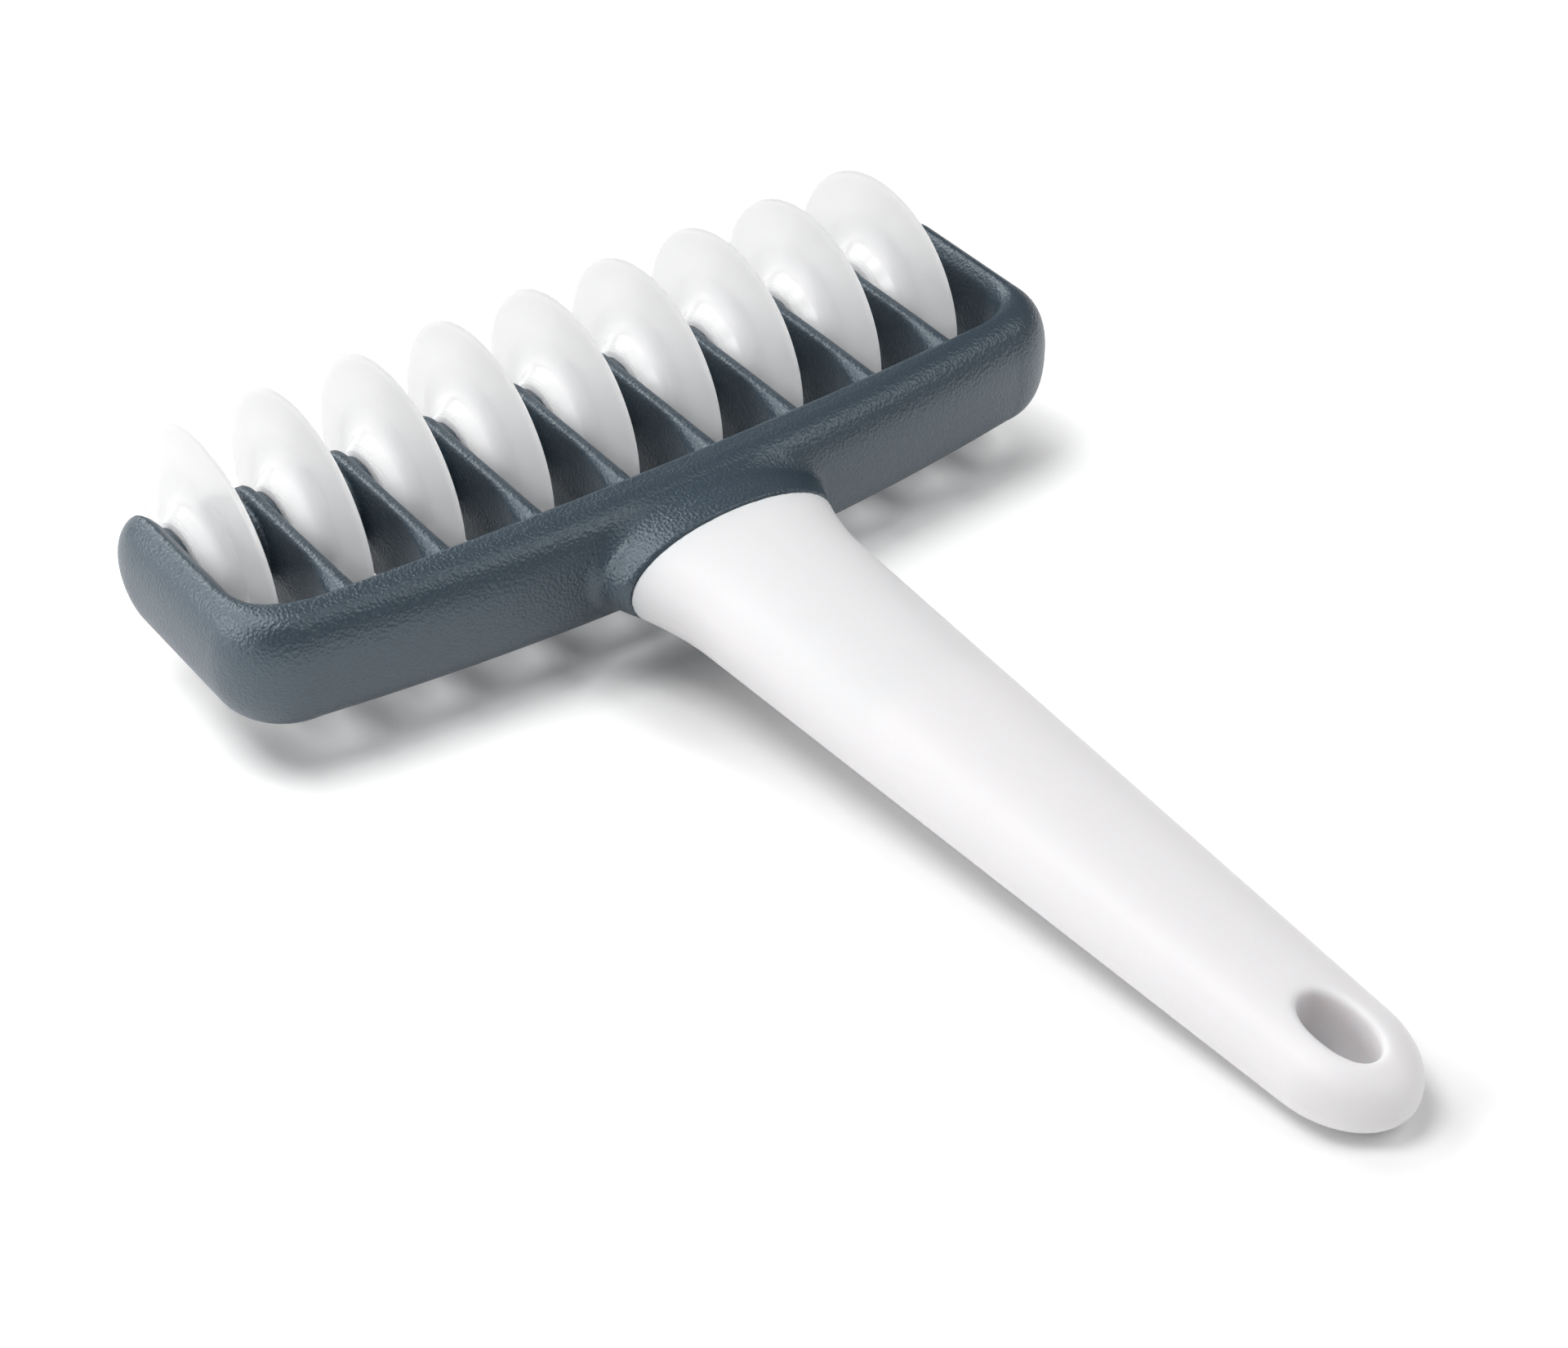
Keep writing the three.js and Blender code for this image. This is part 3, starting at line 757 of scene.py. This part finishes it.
class Finish(NodeMaker):
    """A material with a principled shader and its nodes."""

    def __init__(self, name, **values):
        self.material = bpy.data.materials.new(name)
        self.material.use_nodes = True
        self.tree = self.material.node_tree
        self.shader = self.tree.nodes["Principled BSDF"]
        for label, value in values.items():
            self.shader.inputs[label.replace("_", " ")].default_value = value
        self.place = self.tree.nodes.new("ShaderNodeTexCoord").outputs["Object"]

    def noise(self, size, detail, roughness=0.5, place=None):
        """Noise whose features have about the given size."""
        made = self.node("ShaderNodeTexNoise")
        self.link(place or self.place, made.inputs["Vector"])
        made.inputs["Scale"].default_value = 1.0 / size
        made.inputs["Detail"].default_value = detail
        made.inputs["Roughness"].default_value = roughness
        return made.outputs["Fac"]

    def ranged(self, value, low, high):
        """A value from 0 to 1 spread over another range."""
        made = self.node("ShaderNodeMapRange")
        self.link(value, made.inputs["Value"])
        made.inputs["To Min"].default_value = low
        made.inputs["To Max"].default_value = high
        return made.outputs["Result"]

    def mixed(self, share_socket, first, second):
        """A colour between two."""
        made = self.node("ShaderNodeMix", data_type="RGBA")
        self.link(share_socket, made.inputs["Factor"])
        made.inputs["A"].default_value = (*first, 1.0)
        made.inputs["B"].default_value = (*second, 1.0)
        return made.outputs["Result"]

    def bump(self, height, distance, strength, below=None):
        """A bump from a height, on top of another one."""
        made = self.node("ShaderNodeBump")
        self.link(height, made.inputs["Height"])
        made.inputs["Distance"].default_value = distance
        made.inputs["Strength"].default_value = strength
        if below is not None:
            self.link(below, made.inputs["Normal"])
        return made.outputs["Normal"]

    def tool_place(self):
        """The place in the tool's own frame."""
        made = self.node("ShaderNodeMapping", vector_type="TEXTURE")
        self.link(self.place, made.inputs["Vector"])
        made.inputs["Location"].default_value = AXLE
        made.inputs["Rotation"].default_value = (REST_TILT, 0.0, 0.0)
        return made.outputs["Vector"]

    def parting_line(self, height, width):
        """A thin raised line where the mould's halves met."""
        split = self.node("ShaderNodeSeparateXYZ")
        self.link(self.tool_place(), split.inputs[0])
        from_line = Formula(self.tree, split.outputs[2]) - height
        ridge = 1.0 - (from_line.positive() / width).at_most(1.0)
        return ridge.socket


def slate_finish(settings):
    """Dark satin plastic with a fine eroded grain."""
    finish = Finish("Slate plastic", Specular_IOR_Level=1.0)
    finish.shader.inputs["Specular Tint"].default_value = (*settings.slate_sheen, 1.0)
    tone = finish.noise(size=9.0 * MM, detail=3.0)
    shade = finish.mixed(tone, settings.slate, settings.slate_lighter)
    finish.link(shade, finish.shader.inputs["Base Color"])
    fine = finish.noise(settings.grain, detail=2.0, roughness=0.55)
    finish.link(finish.ranged(fine, low=0.34, high=0.46), finish.shader.inputs["Roughness"])
    cells = finish.node("ShaderNodeTexVoronoi", feature="SMOOTH_F1")
    finish.link(finish.place, cells.inputs["Vector"])
    cells.inputs["Scale"].default_value = 1.0 / (settings.grain * CELL_SHARE)
    cells.inputs["Smoothness"].default_value = 0.6
    relief = finish.bump(cells.outputs["Distance"], distance=0.16 * MM, strength=0.6)
    relief = finish.bump(fine, distance=0.12 * MM, strength=0.5, below=relief)
    line = finish.parting_line(settings.parting, width=0.12 * MM)
    relief = finish.bump(line, distance=0.03 * MM, strength=0.4, below=relief)
    finish.link(relief, finish.shader.inputs["Normal"])
    return finish.material


CELL_SHARE = 1.3


def white_finish(settings):
    """White plastic with a satin gloss and faint flow marks."""
    finish = Finish("White plastic", Subsurface_Weight=0.8, Subsurface_Scale=3.5 * MM)
    finish.shader.inputs["Subsurface Radius"].default_value = (1.0, 0.85, 0.8)
    flow = finish.noise(size=14.0 * MM, detail=2.0)
    paler = [min(1.0, value * FLOW_SHADE) for value in settings.white]
    finish.link(finish.mixed(flow, settings.white, paler), finish.shader.inputs["Base Color"])
    fine = finish.noise(size=0.35 * MM, detail=2.0)
    finish.link(finish.ranged(fine, low=0.40, high=0.50), finish.shader.inputs["Roughness"])
    relief = finish.bump(fine, distance=0.02 * MM, strength=0.25)
    line = finish.parting_line(height=0.0, width=0.10 * MM)
    relief = finish.bump(line, distance=0.04 * MM, strength=0.5, below=relief)
    finish.link(relief, finish.shader.inputs["Normal"])
    return finish.material


FLOW_SHADE = 1.02
CLOUD_SHADE = 1.03


def disc_finish(settings):
    """Milky white plastic with a satin gloss."""
    finish = Finish("Disc plastic", Subsurface_Weight=1.0, Subsurface_Scale=6.0 * MM)
    finish.shader.inputs["Subsurface Radius"].default_value = (1.0, 1.0, 1.0)
    cloud = finish.noise(size=7.0 * MM, detail=2.0)
    paler = [min(1.0, value * CLOUD_SHADE) for value in settings.disc]
    finish.link(finish.mixed(cloud, settings.disc, paler), finish.shader.inputs["Base Color"])
    fine = finish.noise(size=0.5 * MM, detail=2.0)
    finish.link(finish.ranged(fine, low=0.18, high=0.26), finish.shader.inputs["Roughness"])
    relief = finish.bump(fine, distance=0.004 * MM, strength=0.2)
    finish.link(relief, finish.shader.inputs["Normal"])
    return finish.material


def steel_finish(settings):
    """Drawn steel wire with fine lines along the axle."""
    finish = Finish("Drawn steel", Metallic=1.0)
    stretch = finish.node("ShaderNodeMapping")
    finish.link(finish.place, stretch.inputs["Vector"])
    stretch.inputs["Scale"].default_value = (LINE_STRETCH, 1.0, 1.0)
    lines = finish.noise(size=0.12 * MM, detail=3.0, roughness=0.6, place=stretch.outputs["Vector"])
    darker = [value * LINE_SHADE for value in settings.steel]
    finish.link(finish.mixed(lines, darker, settings.steel), finish.shader.inputs["Base Color"])
    finish.link(finish.ranged(lines, low=0.22, high=0.4), finish.shader.inputs["Roughness"])
    finish.link(finish.bump(lines, distance=0.02 * MM, strength=0.3), finish.shader.inputs["Normal"])
    return finish.material


LINE_STRETCH = 0.02
LINE_SHADE = 0.8


# Operators


class ROLLERCUTTER_OT_comb_frame(bpy.types.Operator):
    """Make the comb-shaped frame that carries the axle"""

    bl_idname = "rollercutter.comb_frame"
    bl_label = "Comb Frame"

    def execute(self, context):
        sizes = context.scene.roller_comb_frame
        maker = MouldingTree("Comb Frame", CombFrameSizes, comb_frame_shape)
        side = sizes.half_width + MESH_MARGIN
        up = sizes.half_height + MESH_MARGIN
        low = (-side, -sizes.tang_end - MESH_MARGIN, -up)
        high = (side, sizes.half_height + MESH_MARGIN, up)
        finish = slate_finish(context.scene.roller_finishes)
        piece = moulding("comb_frame_moulding", maker.tree, sizes, low, high, FRAME_MESH, finish)
        dressed(piece, "frame", "comb_frame")
        return {"FINISHED"}


class ROLLERCUTTER_OT_handle(bpy.types.Operator):
    """Make the handle with its hang hole"""

    bl_idname = "rollercutter.handle"
    bl_label = "Handle"

    def execute(self, context):
        sizes = context.scene.roller_handle
        maker = MouldingTree("Handle", HandleSizes, handle_shape)
        side = sizes.grip_half_width + sizes.flare_width + MESH_MARGIN
        up = sizes.grip_half_height + MESH_MARGIN
        low = (-side, -sizes.end_start - sizes.end_length - MESH_MARGIN, -up)
        high = (side, MESH_MARGIN - sizes.front, up)
        finish = white_finish(context.scene.roller_finishes)
        piece = moulding("handle_moulding", maker.tree, sizes, low, high, HANDLE_MESH, finish)
        dressed(piece, "frame", "handle")
        return {"FINISHED"}


MESH_MARGIN = 1.5 * MM
FRAME_MESH = 0.50 * MM
HANDLE_MESH = 0.42 * MM


class ROLLERCUTTER_OT_discs(bpy.types.Operator):
    """Make the cutting discs, one for each joint"""

    bl_idname = "rollercutter.discs"
    bl_label = "Cutting Discs"

    def execute(self, context):
        sizes = context.scene.roller_disc
        tree = turned_tree("Cutting Disc", DiscSizes, disc_zones)
        values = size_values(sizes)
        values["Finish"] = disc_finish(context.scene.roller_finishes)
        for joint in JOINTS:
            body = joint["child"]
            values["Axle"] = Vector(joint["pos_m"])
            piece = piece_from_tree("turned_" + body, tree, values)
            dressed(piece, body, "cutting_" + body)
        return {"FINISHED"}


class ROLLERCUTTER_OT_axle(bpy.types.Operator):
    """Make the plug and give the axle its steel"""

    bl_idname = "rollercutter.axle"
    bl_label = "Axle and Plug"

    def execute(self, context):
        settings = context.scene.roller_finishes
        values = size_values(context.scene.roller_plug)
        values["Axle"] = AXLE
        values["Finish"] = bpy.data.materials["Slate plastic"]
        plug = piece_from_tree("axle_end_plug", turned_tree("Axle Plug", PlugSizes, plug_zones), values)
        dressed(plug, "frame", "axle_plug")
        rod = frame["nodes"]["axle_rod"]
        rod.data.materials.clear()
        rod.data.materials.append(steel_finish(settings))
        return {"FINISHED"}


class ROLLERCUTTER_OT_stage(bpy.types.Operator):
    """Set up the floor, the lamps and the camera"""

    bl_idname = "rollercutter.stage"
    bl_label = "Stage"

    def execute(self, context):
        studio = context.scene.roller_studio
        make_floor(studio)
        make_world(studio)
        make_lamps(studio)
        make_camera(studio)
        context.scene.view_settings.view_transform = "Standard"
        return {"FINISHED"}


# Stage


FLOOR_HALF = 3.0


def make_floor(studio):
    """A pale floor with a painted glow that grows away from the tool, so it looks white to the camera and keeps
    only the shadow close to the tool.
    """
    corners = [(-FLOOR_HALF, -FLOOR_HALF, 0), (FLOOR_HALF, -FLOOR_HALF, 0)]
    corners += [(FLOOR_HALF, FLOOR_HALF, 0), (-FLOOR_HALF, FLOOR_HALF, 0)]
    mesh = bpy.data.meshes.new("floor")
    mesh.from_pydata(corners, [], [(0, 1, 2, 3)])
    floor = bpy.data.objects.new("floor", mesh)
    bpy.context.scene.collection.objects.link(floor)
    finish = Finish("Floor", Roughness=0.9, Specular_IOR_Level=0.0)
    finish.shader.inputs["Base Color"].default_value = (*studio.floor, 1.0)
    path = finish.node("ShaderNodeLightPath")
    seen = Formula(finish.tree, path.outputs["Is Camera Ray"])
    for label in ("Is Glossy Ray", "Is Transmission Ray"):
        seen = seen.at_least(Formula(finish.tree, path.outputs[label]))
    finish.shader.inputs["Emission Color"].default_value = (1.0, 1.0, 1.0, 1.0)
    place = finish.node("ShaderNodeSeparateXYZ")
    finish.link(finish.place, place.inputs["Vector"])
    x, y = (Formula(finish.tree, place.outputs[name]) for name in "XY")
    # Painted glow: the floor shines for camera, glossy and transmission rays more the farther it lies from the
    # tool, which paints out the fainter shadow there.
    away = off_patch(x, y, FRAME_PATCH).at_most(off_patch(x, y, HANDLE_PATCH))
    away = (away / SHADOW_REACH).at_most(1.0)
    painted_glow = away * away * (3.0 - away * 2.0) * PAINTED_FLOOR_GLOW
    finish.link((seen * painted_glow).socket, finish.shader.inputs["Emission Strength"])
    mesh.materials.append(finish.material)


def off_patch(x, y, patch):
    """How far a place on the floor is from a rectangle under the tool."""
    middle, half_x, half_y = patch
    off_x = (x.positive() - half_x).at_least(0.0)
    off_y = ((y - middle).positive() - half_y).at_least(0.0)
    return across(off_x, off_y)


# Middle along the tool, half width and half length of the ground under the frame and the handle
FRAME_PATCH = (70.0 * MM, 58.0 * MM, 22.0 * MM)
HANDLE_PATCH = (-28.0 * MM, 11.0 * MM, 62.0 * MM)
# Strength of the painted glow that whitens the floor beyond the reach from the tool
PAINTED_FLOOR_GLOW = 0.36
SHADOW_REACH = 14.0 * MM


def make_world(studio):
    """Even light from all round."""
    world = bpy.data.worlds.new("Studio")
    bpy.context.scene.world = world
    world.use_nodes = True
    background = world.node_tree.nodes["Background"]
    background.inputs["Color"].default_value = (1.0, 1.0, 1.0, 1.0)
    background.inputs["Strength"].default_value = studio.world


def make_lamps(studio):
    """Four soft lamps round the tool, one for the milky discs and one for the frame's sheen."""
    lamps = {}
    for name, (place, along, size) in LAMPS.items():
        lamps[name] = soft_lamp(name + "_lamp", Vector(place), Vector(along), size, getattr(studio, name))
    pieces = [piece for piece in bpy.context.scene.objects if piece.type == "MESH"]
    discs = [piece for piece in pieces if piece.name.startswith("turned_disc")]
    shines_on(lamps["left"], [piece for piece in pieces if piece not in discs])
    shines_on(lamps["fill"], discs)
    shines_on(lamps["sheen"], [piece for piece in pieces if piece.name.startswith("comb_frame")])


# Place, direction of the first side and size of each lamp, in metres
SIDEWAYS = (1.0, 0.0, 0.0)
ALONG_LEFT = (0.42, 0.91, 0.0)
LAMPS = {
    "key": ((-0.14, 0.86, 0.62), SIDEWAYS, (0.5, 0.6)),
    "left": ((-0.92, 0.42, 0.42), ALONG_LEFT, (1.0, 0.5)),
    "top": ((-0.33, 0.12, 0.97), SIDEWAYS, (0.45, 0.45)),
    "right": ((0.51, -0.48, 0.81), SIDEWAYS, (0.6, 0.6)),
    "fill": ((-0.48, -0.60, 0.60), SIDEWAYS, (0.6, 0.6)),
    "sheen": ((-0.90, 0.32, 0.52), ALONG_LEFT, (1.0, 0.7)),
}
LAMP_AIM = Vector((0.0, 0.0, 0.015))


def shines_on(lamp, pieces):
    """Keeps a lamp's light to some pieces."""
    lit = bpy.data.collections.new("lit_by_" + lamp.name)
    for piece in pieces:
        lit.objects.link(piece)
    lamp.light_linking.receiver_collection = lit


def soft_lamp(name, place, along, size, power):
    """A rectangular lamp that looks at the tool, with its first side along a direction."""
    lamp = bpy.data.lights.new(name, "AREA")
    lamp.shape = "RECTANGLE"
    lamp.size, lamp.size_y = size
    lamp.energy = power
    made = bpy.data.objects.new(name, lamp)
    back = (place - LAMP_AIM).normalized()
    up = back.cross(along).normalized()
    made.matrix_world = facing(place, up.cross(back), up, back)
    bpy.context.scene.collection.objects.link(made)
    return made


def facing(place, right, up, back):
    """The placing of an object from its own three axes."""
    return Matrix.Translation(place) @ Matrix((right, up, back)).transposed().to_4x4()


SENSOR_WIDTH = 36.0
NEAR_CLIP = 0.01


def make_camera(studio):
    """The camera at the photograph's place, aimed from the axle."""
    turn, rise = studio.azimuth, studio.elevation
    right = Vector((math.cos(turn), math.sin(turn), 0.0))
    back = Vector((math.sin(turn) * math.cos(rise), -math.cos(turn) * math.cos(rise), math.sin(rise)))
    up = back.cross(right)
    across_picture = right * math.cos(studio.roll) + up * math.sin(studio.roll)
    up_picture = up * math.cos(studio.roll) - right * math.sin(studio.roll)
    place = AXLE - across_picture * studio.offset_right - up_picture * studio.offset_up
    place += back * studio.distance
    lens = bpy.data.cameras.new("camera")
    lens.sensor_width = SENSOR_WIDTH
    lens.lens = studio.focal
    lens.clip_start = NEAR_CLIP
    camera = bpy.data.objects.new("camera", lens)
    camera.matrix_world = facing(place, across_picture, up_picture, back)
    bpy.context.scene.collection.objects.link(camera)
    bpy.context.scene.camera = camera


# Panel and registration


class ROLLERCUTTER_PT_panel(bpy.types.Panel):
    """Sizes, finishes and makers of the roller cutter"""

    bl_label = "Roller Cutter"
    bl_idname = "ROLLERCUTTER_PT_panel"
    bl_space_type = "VIEW_3D"
    bl_region_type = "UI"
    bl_category = "Roller Cutter"

    def draw(self, context):
        for operator in OPERATORS:
            self.layout.operator(operator.bl_idname)
        for name, group in SETTINGS.items():
            box = self.layout.box()
            box.label(text=group.__doc__)
            for key in keys_of(group):
                box.prop(getattr(context.scene, name), key)


OPERATORS = (
    ROLLERCUTTER_OT_comb_frame,
    ROLLERCUTTER_OT_handle,
    ROLLERCUTTER_OT_discs,
    ROLLERCUTTER_OT_axle,
    ROLLERCUTTER_OT_stage,
)
SETTINGS = {
    "roller_comb_frame": CombFrameSizes,
    "roller_handle": HandleSizes,
    "roller_disc": DiscSizes,
    "roller_plug": PlugSizes,
    "roller_finishes": FinishSettings,
    "roller_studio": StudioSettings,
}
CLASSES = (*SETTINGS.values(), *OPERATORS, ROLLERCUTTER_PT_panel)


def register():
    for item in CLASSES:
        bpy.utils.register_class(item)
    for name, group in SETTINGS.items():
        setattr(bpy.types.Scene, name, bpy.props.PointerProperty(type=group))


def unregister():
    for name in SETTINGS:
        delattr(bpy.types.Scene, name)
    for item in reversed(CLASSES):
        bpy.utils.unregister_class(item)


def main():
    """Builds everything in order."""
    register()
    bpy.ops.rollercutter.comb_frame()
    bpy.ops.rollercutter.handle()
    bpy.ops.rollercutter.discs()
    bpy.ops.rollercutter.axle()
    bpy.ops.rollercutter.stage()


if __name__ == "__main__":
    main()
